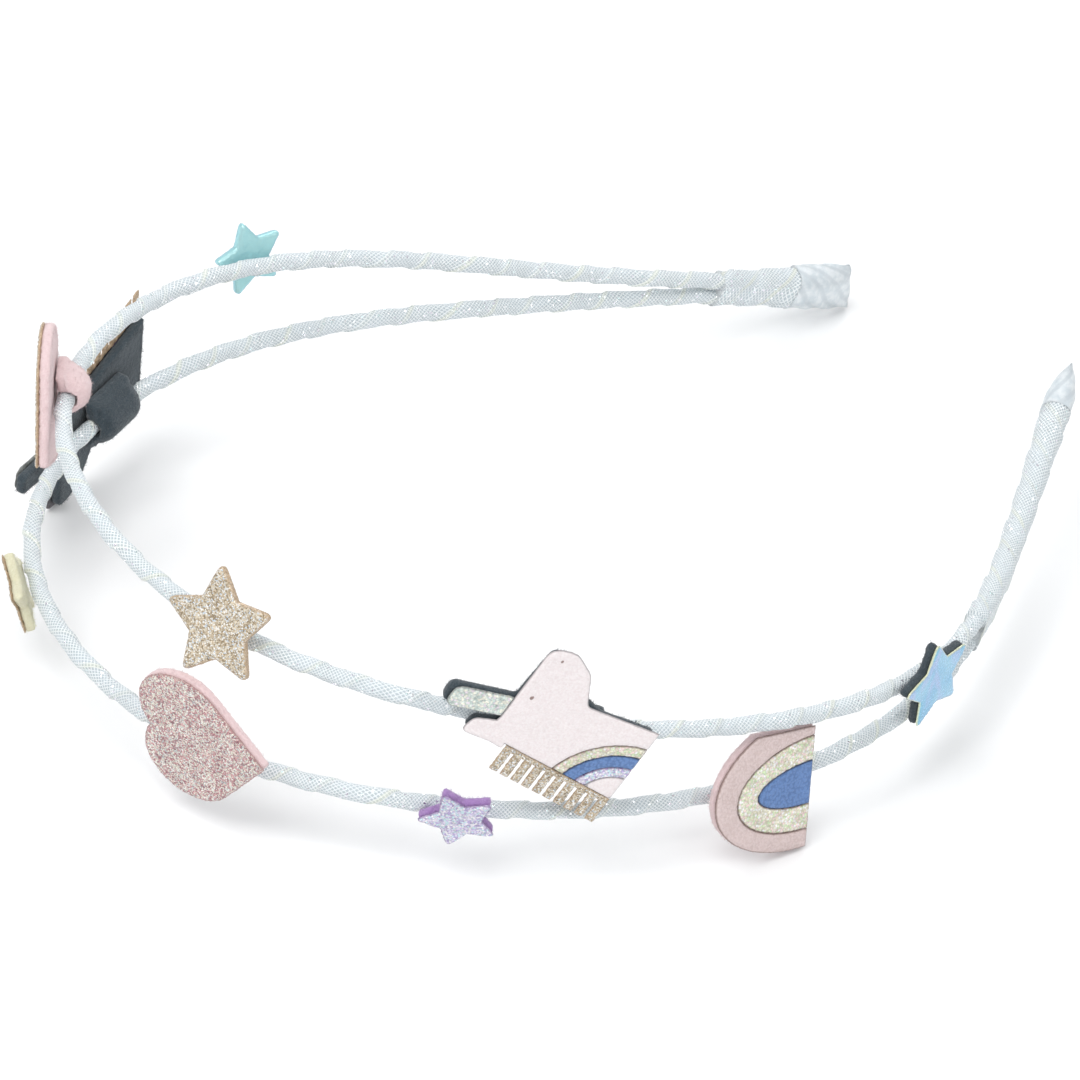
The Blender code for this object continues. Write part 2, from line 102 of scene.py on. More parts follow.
# Ribbon and satin
PITCH = 6.4  # one turn of the ribbon round a wire, mm
TURN_WANDER, WANDER_LENGTH = 0.35, 11.0  # how far the turns stray, in turns, and over which length, mm
TURN_EDGE = 0.93  # share of a turn at which the ribbon drops onto the next one
NET_AROUND, NET_CELL = 13, 0.6  # net cells round a wire, and their length, mm
PLEATS, PLEAT_LEAN = 6, 1.6  # folds round a satin cover, and how far they wind in one turn of ribbon
WIRE_RELIEF, FAR_RELIEF, NEAR_RELIEF = (0.28, 0.1), (0.3, 0.12), (0.34, 0.14)  # turns and dents, mm
FAR_PLEAT, NEAR_PLEAT = 0.2, 0.1  # height of the folds, mm
WIRE_SIDES = 20
WIRE_STEP, WRAP_STEP, TIP_STEP = 0.32, 0.3, 0.25  # mesh size along each tube, mm

# Charms
CELL = 0.36  # mesh size on a charm, mm
FELT_RISE = 0.3  # the felt is built up towards its face, mm
FELT_INSET = 0.4  # a unicorn's felt is cut this much smaller than its solid, mm
FACE_DROP = 0.5  # a face is this much thinner than its solid, mm
FACE_GROW = 0.09  # and wider all round, which leaves a fine cut line between neighbours, mm
RIM_REACH = 0.9  # fibres stand within this distance of the felt's cut edge, mm
FIBRE_LENGTH, FIBRE_WIDTH, FIBRE_ROOT = 0.5, 0.03, 0.04
EYE, NOSTRIL = (5.7, 8.0), (13.0, 7.6)  # in a unicorn's frame
EYE_SIZE, NOSTRIL_SIZE = (0.42, 0.3), (0.28, 0.2)  # half length and half width
MARK_HEIGHTS = (3.53, 3.51, 3.44)  # top, shoulder and foot of an eye or nostril
MARK_SIDES = 14

# Felt patches: felt near its wire is drawn in to it, and pinched onto it near the patch's ends
CHANNEL, SNUG = 2.15, 1.42  # felt within CHANNEL of the wire's centre is drawn in to SNUG
PINCH, PINCHED, SQUEEZE = 2.0, 3.4, 0.36  # length of the pinch, how far out it reaches, and its strength
PATCH_LINE = (-60.0, 100.0, 0.25)  # stretch of the wires that patches sit on, and its step
PATCH_CELL, PATCH_ROUGH = 0.75, 0.02


def natural_spline(knots, values, at):
    """The natural cubic spline through values at the knots, read at each place in at."""
    span = np.diff(knots)
    count = len(knots)
    system = np.eye(count)
    right = np.zeros_like(values)
    for i in range(1, count - 1):
        system[i, i - 1:i + 2] = span[i - 1], 2 * (span[i - 1] + span[i]), span[i]
        right[i] = 6 * ((values[i + 1] - values[i]) / span[i] - (values[i] - values[i - 1]) / span[i - 1])
    bend = np.linalg.solve(system, right)
    i = np.clip(np.searchsorted(knots, at, "right") - 1, 0, count - 2)
    back, ahead, width = (knots[i + 1] - at)[:, None], (at - knots[i])[:, None], span[i][:, None]
    curved = (bend[i] * back**3 + bend[i + 1] * ahead**3) / (6 * width)
    level = (values[i] / width - bend[i] * width / 6) * back
    return curved + level + (values[i + 1] / width - bend[i + 1] * width / 6) * ahead


class Band:
    """The midline of the band, read by its distance from the crown."""

    def __init__(self, stations, steps=600):
        rows = np.array(stations)
        knots = np.concatenate([[0], np.cumsum(np.hypot(*np.diff(rows[:, :2], axis=0).T))])
        self.rows = natural_spline(knots, rows, np.linspace(0, knots[-1], steps))
        run = np.concatenate([[0], np.cumsum(np.hypot(*np.diff(self.rows[:, :2], axis=0).T))])
        self.run = run - run[self.rows[:, 1].argmin()]

    def at(self, distance):
        """x, y, z and half spacing."""
        return np.array([np.interp(distance, self.run, column) for column in self.rows.T])

    def point(self, distance, wire="middle"):
        x, y, z, half = self.at(distance)
        return Vector((x, y, z + {"upper": half, "lower": -half, "middle": 0.0}[wire]))

    def along(self, distance, wire="middle", flat=False):
        places = (min(max(distance + d, self.run[0]), self.run[-1]) for d in (0.5, -0.5))
        ahead, back = (self.point(place, wire) for place in places)
        step = ahead - back
        return Vector((step.x, step.y, 0.0 if flat else step.z)).normalized()


band = Band(STATIONS)


# Materials

class Look:
    """A procedural material on a Principled shader, in the row's own millimetres."""

    def __init__(self, name, **constants):
        self.material = bpy.data.materials.new(name)
        self.material.use_nodes = True
        self.tree = self.material.node_tree
        self.shader = self.tree.nodes["Principled BSDF"]
        for socket, value in constants.items():
            self.shader.inputs[socket.replace("_", " ")].default_value = value
        here = self.add("TexCoord", {}).outputs["Object"]
        self.here = self.add("VectorMath", {0: here, "Scale": 1 / MM}, operation="SCALE").outputs[0]
        chart = self.add("UVMap", {}, uv_map="Chart").outputs[0]
        split = self.add("SeparateXYZ", {0: chart})
        self.u, self.v = split.outputs[0], split.outputs[1]

    def add(self, kind, inputs, **settings):
        node = self.tree.nodes.new("ShaderNode" + kind)
        for key, value in settings.items():
            setattr(node, key, value)
        for key, value in inputs.items():
            if isinstance(value, bpy.types.NodeSocket):
                self.tree.links.new(value, node.inputs[key])
            else:
                node.inputs[key].default_value = value
        return node

    def math(self, operation, *values):
        return self.add("Math", dict(enumerate(values)), operation=operation).outputs[0]

    def ramp(self, value, low, high, to_low=0.0, to_high=1.0):
        """Smoothly from to_low to to_high as value goes from low to high."""
        inputs = {"Value": value, "From Min": low, "From Max": high, "To Min": to_low, "To Max": to_high}
        return self.add("MapRange", inputs, interpolation_type="SMOOTHSTEP").outputs[0]

    def mix(self, share, first, second, blend="MIX"):
        inputs = {0: share, 6: colour(first), 7: colour(second)}
        return self.add("Mix", inputs, data_type="RGBA", blend_type=blend).outputs[2]

    def noise(self, size, detail=3.0, rough=0.55, stretch=(1.0, 1.0, 1.0)):
        """Noise whose features are about size mm wide."""
        place = self.add("Mapping", {"Vector": self.here, "Scale": [s / size for s in stretch]})
        inputs = {"Vector": place.outputs[0], "Scale": 1.0, "Detail": detail, "Roughness": rough}
        return self.add("TexNoise", inputs).outputs["Fac"]

    def cells(self, size):
        return self.add("TexVoronoi", {"Vector": self.here, "Scale": 1 / size})

    def relief(self, height, depth):
        """depth is the height's full range in mm."""
        return self.add("Bump", {"Height": height, "Distance": depth * MM}).outputs[0]

    def facet(self, cells, tilt, normal=None):
        """Each cell leans its own way, as flakes of glitter do."""
        way = self.add("VectorMath", {0: cells.outputs["Color"], 1: (0.5, 0.5, 0.5)}, operation="SUBTRACT")
        lean = self.add("VectorMath", {0: way.outputs[0], "Scale": tilt}, operation="SCALE")
        start = normal or self.add("NewGeometry", {}).outputs["Normal"]
        leaning = self.add("VectorMath", {0: start, 1: lean.outputs[0]}, operation="ADD")
        return self.add("VectorMath", {0: leaning.outputs[0]}, operation="NORMALIZE").outputs[0]

    def palette(self, value, shares):
        """Colours by share: (share, colour) pairs whose shares add up to one."""
        made = self.add("ValToRGB", {0: value})
        bar = made.color_ramp
        bar.interpolation = "CONSTANT"
        start = 0.0
        for i, (share, paint) in enumerate(shares):
            stop = bar.elements[i] if i < 2 else bar.elements.new(start)
            stop.position = start
            stop.color = (*paint, 1.0)
            start += share
        return made.outputs[0]

    def cut(self, width=0.2, rim=0.7):
        """One on a layer's side walls and back, fading in over the last width mm of its top."""
        near = self.ramp(self.u, 0.03, width, rim, 0.0)
        side = self.ramp(self.v, 0.55, 0.97, 1.0, 0.0)
        return self.math("MAXIMUM", near, side)

    def set(self, **sockets):
        for key, value in sockets.items():
            self.tree.links.new(value, self.shader.inputs[key.replace("_", " ")])


def colour(value):
    return value if isinstance(value, bpy.types.NodeSocket) else (*value, 1.0)


def glitter(name, shares, grain, metallic, edge, rough=0.28, tilt=0.9, seam=0.75):
    """Flakes of many colours, each lying its own way, with darker seams between them."""
    look = Look(name, Metallic=metallic, Specular_IOR_Level=0.6)
    flakes = look.cells(grain)
    parts = look.add("SeparateColor", {0: flakes.outputs["Color"]})
    paint = look.palette(parts.outputs[0], shares)
    shade = look.ramp(flakes.outputs["Distance"], 0.25, 0.75, 1.0, seam)
    patches = look.ramp(look.noise(2.5), 0.35, 0.65, 0.88, 1.0)
    grey = look.math("MULTIPLY", shade, patches)
    tone = look.add("CombineColor", {channel: grey for channel in range(3)}).outputs[0]
    paint = look.mix(look.cut(), look.mix(1.0, paint, tone, "MULTIPLY"), edge)
    look.set(Base_Color=paint, Normal=look.facet(flakes, tilt))
    look.set(Roughness=look.ramp(parts.outputs[1], 0.0, 1.0, rough - 0.13, rough + 0.2))
    return look.material


def felt(name, paint, dark, light, sheen=0.35):
    """Matted fibres: long noise in three directions, with sheen from the fuzz."""
    look = Look(name, Roughness=0.95, Sheen_Weight=sheen, Sheen_Roughness=0.45, Specular_IOR_Level=0.15)
    fibres = look.noise(0.5, 6.0, 0.7, (4.0, 1.0, 1.0))
    crossed = look.noise(0.5, 6.0, 0.7, (1.0, 4.0, 1.5))
    matted = look.math("MULTIPLY", look.math("ADD", fibres, crossed), 0.5)
    clumps = look.noise(1.7, 2.0)
    shade = look.mix(look.ramp(matted, 0.35, 0.68), dark, light)
    look.set(Base_Color=look.mix(look.ramp(clumps, 0.3, 0.75, 0.35, 0.7), shade, paint))
    look.set(Normal=look.relief(matted, 0.22))
    return look.material


def leather(name, paint, crease_shade, edge, rough=0.5, grain=0.42):
    """Pebbled leatherette with a darker cut edge, and painted shade in the creases between its pebbles."""
    look = Look(name, Specular_IOR_Level=0.4, Coat_Weight=0.08, Coat_Roughness=0.4)
    pebbles = look.cells(grain)
    fine = look.noise(0.16, 4.0)
    domes = look.ramp(pebbles.outputs["Distance"], 0.2, 0.75, 1.0, 0.0)
    raised = look.math("ADD", domes, look.math("MULTIPLY", fine, 0.6))
    # painted shade: the colour darkens in the creases between pebbles, where the bump sinks
    shade = look.mix(look.ramp(raised, 0.2, 0.9), crease_shade, paint)
    lighter = [min(1.0, 1.12 * c) for c in paint]
    cloud = look.mix(look.ramp(look.noise(3.0), 0.35, 0.7, 0.0, 0.35), shade, lighter)
    look.set(Base_Color=look.mix(look.cut(), cloud, edge))
    look.set(Roughness=look.ramp(fine, 0.3, 0.7, rough - 0.08, rough + 0.12))
    look.set(Normal=look.relief(raised, 0.07))
    return look.material


def pearl(name, paint, warm, edge):
    """A pearly, slightly napped sheet: mottled, with a fine shimmer."""
    look = Look(name, Sheen_Weight=0.25, Sheen_Roughness=0.4, Specular_IOR_Level=0.6, Coat_Weight=0.12,
                Coat_Roughness=0.35)
    specks = look.cells(0.3)
    grain = look.noise(0.35, 5.0, 0.65)
    wear = look.noise(1.3, 4.0, 0.6)
    shade = look.mix(look.ramp(grain, 0.3, 0.7), warm, paint)
    shade = look.mix(look.ramp(wear, 0.52, 0.75, 0.0, 0.45), shade, warm)
    look.set(Base_Color=look.mix(look.cut(0.15, 0.5), shade, edge))
    parts = look.add("SeparateColor", {0: specks.outputs["Color"]})
    look.set(Metallic=look.ramp(parts.outputs[0], 0.8, 0.9, 0.0, 0.5))
    look.set(Roughness=look.ramp(parts.outputs[1], 0.0, 1.0, 0.28, 0.6))
    look.set(Normal=look.facet(specks, 0.3, look.relief(grain, 0.1)))
    return look.material


def foil(name, light, deep, tint, edge, rough=0.16):
    """Iridescent film: soft fields of colour under a thin coat that shifts hue at a glance."""
    look = Look(name, Metallic=0.35, Specular_IOR_Level=0.8, Coat_Weight=0.6, Coat_Roughness=0.1,
                Thin_Film_Thickness=420.0, Thin_Film_IOR=1.4)
    fields = look.noise(5.0, 1.5)
    fine = look.noise(0.3, 3.0)
    shade = look.mix(look.ramp(fields, 0.36, 0.64), light, deep)
    bands = look.noise(3.6, 1.0, 0.5, (1.0, 1.6, 0.7))
    shade = look.mix(look.ramp(bands, 0.5, 0.68, 0.0, 0.7), shade, tint)
    look.set(Base_Color=look.mix(look.cut(), shade, edge))
    look.set(Roughness=look.ramp(fine, 0.3, 0.7, rough, rough + 0.16))
    look.set(Normal=look.relief(look.noise(0.9, 3.0), 0.05))
    return look.material


def ribbon(name):
    """Shimmer net: white threads, greyer holes, a pale yellow edge at each turn and sparse glitter."""
    look = Look(name, Specular_IOR_Level=0.5, Sheen_Weight=0.15, Sheen_Roughness=0.4)
    along = look.math("MULTIPLY", look.u, PITCH / NET_CELL * 2 * pi)
    round_it = look.math("MULTIPLY", look.v, NET_AROUND * 2 * pi)
    one = look.math("SINE", look.math("ADD", along, round_it))
    two = look.math("SINE", look.math("SUBTRACT", along, round_it))
    net = look.math("MAXIMUM", one, two)
    wobble = look.noise(0.5, 3.0)
    threads = look.ramp(look.math("ADD", net, look.math("MULTIPLY", wobble, 0.7)), 0.2, 1.25)
    shade = look.mix(threads, (0.47, 0.54, 0.57), (0.84, 0.88, 0.89))
    shade = look.mix(look.ramp(look.noise(4.0, 2.0), 0.3, 0.7, 0.0, 0.3), shade, (0.70, 0.77, 0.83))
    turn = look.math("FRACT", look.math("SUBTRACT", look.u, look.v))
    lip = look.math("MULTIPLY", look.ramp(turn, 0.80, 0.87), look.ramp(turn, 0.93, 0.99, 1.0, 0.0))
    strong = look.ramp(look.noise(9.0, 1.0), 0.38, 0.62, 0.25, 0.95)
    lip = look.math("MULTIPLY", lip, strong)
    shade = look.mix(look.math("MULTIPLY", lip, 0.3), shade, (0.87, 0.86, 0.60))
    flakes = look.cells(0.27)
    parts = look.add("SeparateColor", {0: flakes.outputs["Color"]})
    bright = look.ramp(parts.outputs[0], 0.95, 0.96)
    spark = look.palette(parts.outputs[1], SPARKS)
    look.set(Base_Color=look.mix(bright, shade, spark))
    look.set(Metallic=look.math("MULTIPLY", bright, 0.85))
    look.set(Roughness=look.ramp(bright, 0.0, 1.0, 0.5, 0.14))
    relief = look.relief(threads, 0.09)
    leaning = look.facet(flakes, 1.1, relief)
    way = look.add("Mix", {0: bright, 4: relief, 5: leaning}, data_type="VECTOR")
    look.set(Normal=way.outputs[1])
    return look.material


def satin(name):
    """Closely woven satin with fine threads across it, and painted shade in the valleys of its folds."""
    look = Look(name, Specular_IOR_Level=0.6, Sheen_Weight=0.3, Sheen_Roughness=0.3, Coat_Weight=0.15,
                Coat_Roughness=0.3)
    threads = look.math("SINE", look.math("MULTIPLY", look.v, 150 * 2 * pi))
    cross = look.math("SINE", look.math("MULTIPLY", look.u, 26 * 2 * pi))
    weave = look.math("ADD", look.math("MULTIPLY", threads, 0.5), look.math("MULTIPLY", cross, 0.35))
    soft = look.noise(1.2, 3.0)
    shade = look.mix(look.ramp(soft, 0.3, 0.7), (0.66, 0.73, 0.77), (0.86, 0.90, 0.92))
    lean = look.math("MULTIPLY", look.u, PLEAT_LEAN)
    fold = look.math("ADD", look.math("MULTIPLY", look.v, PLEATS), lean)
    folds = look.math("SINE", look.math("MULTIPLY", fold, 2 * pi))
    # painted shade: the colour darkens in the valleys between the pleats, in step with the folds of the
    # pleated relief
    shade = look.mix(look.ramp(folds, -1.0, -0.2, 0.55, 0.0), shade, (0.56, 0.62, 0.66))
    look.set(Base_Color=look.mix(look.ramp(weave, -0.8, 0.8, 0.18, 0.0), shade, (0.5, 0.56, 0.6)))
    look.set(Roughness=look.ramp(soft, 0.3, 0.7, 0.3, 0.45))
    look.set(Normal=look.relief(weave, 0.03))
    return look.material


# Flakes of each glitter: share and colour
SPARKS = ((0.5, (0.97, 0.99, 1.0)), (0.2, (0.80, 0.95, 0.95)), (0.3, (0.93, 0.9, 0.98)))
GOLD = ((0.22, (0.38, 0.29, 0.18)), (0.30, (0.62, 0.50, 0.35)), (0.24, (0.80, 0.71, 0.56)),
        (0.16, (0.98, 0.96, 0.92)), (0.08, (0.72, 0.80, 0.88)))
ROSE = ((0.30, (0.93, 0.88, 0.76)), (0.27, (0.68, 0.36, 0.37)), (0.22, (0.38, 0.19, 0.21)),
        (0.11, (1.0, 0.99, 0.94)), (0.10, (0.60, 0.64, 0.64)))
YELLOW = ((0.29, (0.85, 0.80, 0.60)), (0.27, (0.94, 0.91, 0.75)), (0.15, (0.72, 0.87, 0.55)),
          (0.14, (0.97, 0.76, 0.72)), (0.15, (1.0, 0.99, 0.97)))
LILAC = ((0.24, (0.56, 0.47, 0.77)), (0.26, (0.77, 0.71, 0.90)), (0.28, (0.96, 0.93, 0.99)),
         (0.22, (0.64, 0.84, 0.91)))
PEARL = ((0.34, (0.66, 0.77, 0.72)), (0.30, (0.81, 0.88, 0.81)), (0.21, (0.98, 0.97, 0.84)),
         (0.15, (0.89, 0.80, 0.87)))

# Colours of cut edges
BROWN_CUT, TAN_CUT, ROSE_CUT = (0.16, 0.09, 0.07), (0.52, 0.38, 0.25), (0.42, 0.25, 0.24)
LILAC_CUT, GREY_CUT, BLACK_CUT = (0.26, 0.17, 0.34), (0.20, 0.21, 0.20), (0.08, 0.07, 0.08)
NAVY_CUT, CYAN_CUT, YELLOW_CUT = (0.03, 0.04, 0.08), (0.40, 0.68, 0.72), (0.80, 0.78, 0.50)

LOOKS = {
    "ribbon": ribbon("Ribbon net"),
    "satin": satin("Satin"),
    "felt_charcoal": felt("Felt charcoal", (0.045, 0.062, 0.075), (0.018, 0.027, 0.034), (0.12, 0.15, 0.17)),
    "felt_pale_pink": felt("Felt pale pink", (0.82, 0.63, 0.63), (0.70, 0.50, 0.51), (0.90, 0.75, 0.75)),
    "felt_purple": felt("Felt purple", (0.38, 0.22, 0.50), (0.24, 0.12, 0.35), (0.54, 0.38, 0.66)),
    "felt_pale_yellow": felt("Felt pale yellow", (0.80, 0.77, 0.56), (0.64, 0.60, 0.38), (0.90, 0.88, 0.72)),
    "pearl_pink": pearl("Pearl pink", (0.90, 0.84, 0.84), (0.82, 0.73, 0.73), BLACK_CUT),
    "pearl_cyan": foil("Pearl cyan", (0.34, 0.68, 0.74), (0.22, 0.56, 0.64), (0.44, 0.66, 0.78), CYAN_CUT,
                       rough=0.3),
    "leather_dusty_pink": leather("Leather dusty pink", (0.69, 0.56, 0.545), (0.60, 0.47, 0.45), BROWN_CUT),
    "leather_blue": leather("Leather blue", (0.13, 0.24, 0.50), (0.08, 0.16, 0.36), NAVY_CUT),
    "foil_blue": foil("Foil blue", (0.32, 0.56, 0.70), (0.24, 0.48, 0.66), (0.42, 0.48, 0.72), YELLOW_CUT),
    "glitter_gold": glitter("Glitter gold", GOLD, 0.19, 0.2, TAN_CUT),
    "glitter_rose": glitter("Glitter rose", ROSE, 0.19, 0.2, ROSE_CUT),
    "glitter_yellow": glitter("Glitter yellow", YELLOW, 0.32, 0.03, BROWN_CUT),
    "glitter_lilac": glitter("Glitter lilac", LILAC, 0.28, 0.1, LILAC_CUT),
    "glitter_pearl": glitter("Glitter pearl", PEARL, 0.32, 0.04, GREY_CUT),
}


# Geometry

def finished(name, verts, faces, chart, look, nodes, place=TO_ROW):
    """A piece from points in mm, with its chart (u, v) per point, standing for CAD nodes."""
    mesh = bpy.data.meshes.new(name)
    mesh.from_pydata([tuple(v) for v in verts], [], faces)
    layer = mesh.uv_layers.new(name="Chart")
    corners = np.empty(len(mesh.loops), int)
    mesh.loops.foreach_get("vertex_index", corners)
    layer.data.foreach_set("uv", np.asarray(chart, float)[corners].ravel())
    mesh.transform(place)
    mesh.shade_smooth()
    mesh.update()
    piece = bpy.data.objects.new(name, mesh)
    bpy.context.scene.collection.objects.link(piece)
    mesh.materials.append(LOOKS[look])
    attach(piece, "root")
    if nodes:
        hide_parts(*nodes)
    return piece


def circle(radius, sides):
    return [(radius * cos(2 * pi * i / sides), radius * sin(2 * pi * i / sides)) for i in range(sides)]


def stadium(half, radius, sides=14, straight=3):
    """Outline of two round wires held together, evenly filled along its straight stretches."""
    turns = [pi * i / sides for i in range(sides + 1)]
    top = [(radius * cos(a), half + radius * sin(a)) for a in turns]
    left = [(-radius, half - 2 * half * i / straight) for i in range(1, straight)]
    loop = top + left
    return loop + [(-x, -y) for x, y in loop]


def sweep(name, wire, stretch, section, relief, step, look, nodes, laps=1, slant=0.0):
    """A tube along a wire or the midline, its surface lifted by relief(distance, turns, share round it)."""
    count = max(2, int(round((stretch[1] - stretch[0]) / step)))
    verts, chart, faces = [], [], []
    for i in range(count + 1):
        share = i / count
        place = stretch[0] + share * (stretch[1] - stretch[0])
        ahead = band.along(place, wire)
        out = ahead.cross(Vector((0, 0, 1))).normalized()
        up = out.cross(ahead)
        centre = band.point(place, wire)
        outline = section(share, place)
        size = len(outline)
        turns = place / PITCH + TURN_WANDER * noise.noise(Vector((place / WANDER_LENGTH, 3.0, 0.0)))
        for j in range(size + 1):
            k = j % size
            (xa, ya), (xb, yb) = outline[k - 1], outline[(k + 1) % size]
            normal = Vector((yb - ya, xa - xb)).normalized()
            lift = relief(place, turns, j / size)
            x, y = outline[k][0] + normal.x * lift, outline[k][1] + normal.y * lift
            verts.append(centre + out * x + (up + ahead * slant * (1 - share)) * y)
            chart.append((turns, laps * j / size))
    row = size + 1
    for i in range(count):
        for j in range(size):
            low = i * row + j
            faces.append((low, low + 1, low + row + 1, low + row))
    for start, flip in ((0, True), (count * row, False)):
        ring = list(range(start, start + size))
        middle = len(verts)
        verts.append(sum((Vector(verts[r]) for r in ring), Vector()) / size)
        chart.append((chart[start][0], 0.5))
        for j in range(size):
            a, b = ring[j], ring[(j + 1) % size]
            faces.append((b, a, middle) if flip else (a, b, middle))
    return finished(name, verts, faces, chart, look, nodes)


def wound(depth, rough=0.05):
    """Relief of a ribbon wound round: each turn rises to its edge and drops onto the next."""
    def relief(place, turns, share):
        phase = (turns - share) % 1.0
        rise = phase / TURN_EDGE if phase < TURN_EDGE else (1 - phase) / (1 - TURN_EDGE)
        angle = 2 * pi * share
        dents = noise.noise(Vector((place / 1.6, 1.4 * cos(angle), 1.4 * sin(angle))))
        return depth * (rise - 0.7) + rough * dents
    return relief


def pleated(depth, pleats, lean):
    """Relief of gathered satin: folds that run along the cover and lean over."""
    def relief(place, turns, share):
        wave = sin(2 * pi * (pleats * share + lean * turns))
        return depth * (abs(wave) ** 0.6) * (1 if wave > 0 else -0.4)
    return relief


def tip_section(share, place):
    radius = WRAP_RADIUS + WRAP_SWELL
    half = band.at(place)[3]
    squash = 1 - share**3 * (1 - TIP_EDGE / radius)
    widen = 1 + share * TIP_FLARE / (half + radius)
    return [(x * squash, y * widen) for x, y in stadium(half, radius)]


def charm_matrix(name, back):
    """The charm's own frame, in mm of the drawing: the back node's lowest face is at BACK_LOW."""
    wire, distance, lift, turn, tilt, yaw = PLACES[name]
    along = band.along(distance, "middle", flat=True)
    out = Vector((along.y, -along.x, 0))
    up = Vector((0, 0, 1))
    normal = out * cos(radians(yaw)) + along * sin(radians(yaw))
    normal = normal * cos(radians(tilt)) + up * sin(radians(tilt))
    side = up.cross(normal).normalized()
    rise = normal.cross(side)
    turned = Matrix((side, rise, normal)).transposed() @ Matrix.Rotation(radians(turn), 3, "Z")
    origin = band.point(distance, wire) + lift * rise
    to_drawing = TO_ROW.inverted()
    low = min((to_drawing @ v.co - origin).dot(normal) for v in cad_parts[back].data.vertices)
    made = turned.to_4x4()
    made.translation = origin + (low - BACK_LOW) * normal
    return made


def outline_of(node, to_plate):
    """The node's outline in its charm's frame, with its lowest and highest z, mm."""
    bm = bmesh.new()
    bm.from_mesh(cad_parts[node].data)
    bmesh.ops.transform(bm, matrix=to_plate, verts=bm.verts)
    bmesh.ops.remove_doubles(bm, verts=bm.verts, dist=0.002)
    bm.normal_update()
    top = [f for f in bm.faces if f.normal.z > 0.99]
    after = {}
    for face in top:
        for loop in face.loops:
            if sum(other in top for other in loop.edge.link_faces) == 1:
                after[loop.vert] = loop.link_loop_next.vert
    start = next(iter(after))
    walk = [start]
    while after[walk[-1]] is not start:
        walk.append(after[walk[-1]])
    zs = [v.co.z for v in bm.verts]
    points = [(v.co.x, v.co.y) for v in walk]
    bm.free()
    return points, min(zs), max(zs)


def resampled(points, cell):
    """The closed outline with its long edges split, corners kept."""
    made = []
    for i, a in enumerate(points):
        a, b = Vector(a), Vector(points[(i + 1) % len(points)])
        pieces = max(1, int(round((b - a).length / cell)))
        made += [a.lerp(b, j / pieces) for j in range(pieces)]
    thinned = [made[0]]
    for p in made[1:]:
        if (p - thinned[-1]).length > 0.3 * cell:
            thinned.append(p)
    return thinned


def edge_distance(points, outline):
    """Distance in mm from each point to the closed outline."""
    a = np.array(outline)
    b = np.roll(a, -1, axis=0)
    span = b - a
    from_a = points[:, None, :] - a[None]
    t = np.clip((from_a * span).sum(2) / (span**2).sum(1), 0, 1)
    return np.sqrt(((from_a - t[..., None] * span) ** 2).sum(2)).min(1)


def inside(points, outline):
    a = np.array(outline)
    b = np.roll(a, -1, axis=0)
    x, y = points[:, :1], points[:, 1:]
    crosses = (a[:, 1] > y) != (b[:, 1] > y)
    with np.errstate(divide="ignore", invalid="ignore"):
        at_x = (b[:, 0] - a[:, 0]) * (y - a[:, 1]) / (b[:, 1] - a[:, 1]) + a[:, 0]
    return (crosses & (x < at_x)).sum(1) % 2 == 1


def plate(node, to_drawing, soft=0.22, rough=0.03, cell=CELL, rise=0.0, grow=0.0, rows=3):
    """A charm's layer: its CAD outline filled with a fine mesh, rounded at the rim and roughened."""
    outline, low, high = outline_of(node, to_drawing.inverted() @ TO_ROW.inverted())
    rim = resampled(outline, cell)
    rim_points = np.array([tuple(p) for p in rim])
    high += rise
    span = np.roll(rim_points, -1, axis=0) - np.roll(rim_points, 1, axis=0)
    ways = np.stack([span[:, 1], -span[:, 0]], 1) / np.linalg.norm(span, axis=1)[:, None]
    rim_points = rim_points + grow * ways
    lowest, highest = rim_points.min(0), rim_points.max(0)
    grid = []
    for i, y in enumerate(np.arange(lowest[1], highest[1], cell * sqrt(3) / 2)):
        for x in np.arange(lowest[0] + (i % 2) * cell / 2, highest[0], cell):
            grid.append((x, y))
    grid = np.array(grid)
    grid = grid[inside(grid, rim_points)]
    grid = grid[edge_distance(grid, rim_points) > 0.45 * cell]
    grid = grid + random.uniform(-0.1, 0.1, grid.shape) * cell
    flat = np.concatenate([rim_points, grid])
    size = len(rim_points)
    links = [(i, (i + 1) % size) for i in range(size)]
    points, _, triangles, *_ = delaunay_2d_cdt([Vector(p) for p in flat], links, [], 1, 1e-5)
    flat = np.array([tuple(p) for p in points])
    depth = edge_distance(flat, rim_points)
    short = np.clip(1 - depth / soft, 0, 1)
    fall = soft * (1 - np.sqrt(np.clip(1 - short**2, 0, 1)))
    verts, chart, faces = [], [], []
    for level, way in ((high, -1), (low, 1)):
        z = level + way * fall + random.normal(0, rough, len(flat))
        verts += [(x, y, height) for (x, y), height in zip(flat, z)]
        chart += [(d, 1.0 if way < 0 else 0.0) for d in depth]
    count = len(flat)
    faces += [tuple(t) for t in triangles]
    faces += [tuple(count + i for i in reversed(t)) for t in triangles]
    walls = [list(range(size))]
    for row in range(1, rows):
        share = row / rows
        walls.append(list(range(len(verts), len(verts) + size)))
        for i in range(size):
            bulge = 0.35 * soft * sin(pi * share) + random.normal(0, rough)
            z = verts[i][2] + share * (verts[count + i][2] - verts[i][2])
            verts.append((*(rim_points[i] + ways[i] * bulge), z))
            chart.append((0.0, 1 - share))
    walls.append(list(range(count, count + size)))
    for upper, under in zip(walls, walls[1:]):
        for i in range(size):
            k = (i + 1) % size
            faces.append((upper[k], upper[i], under[i], under[k]))
    return verts, faces, chart


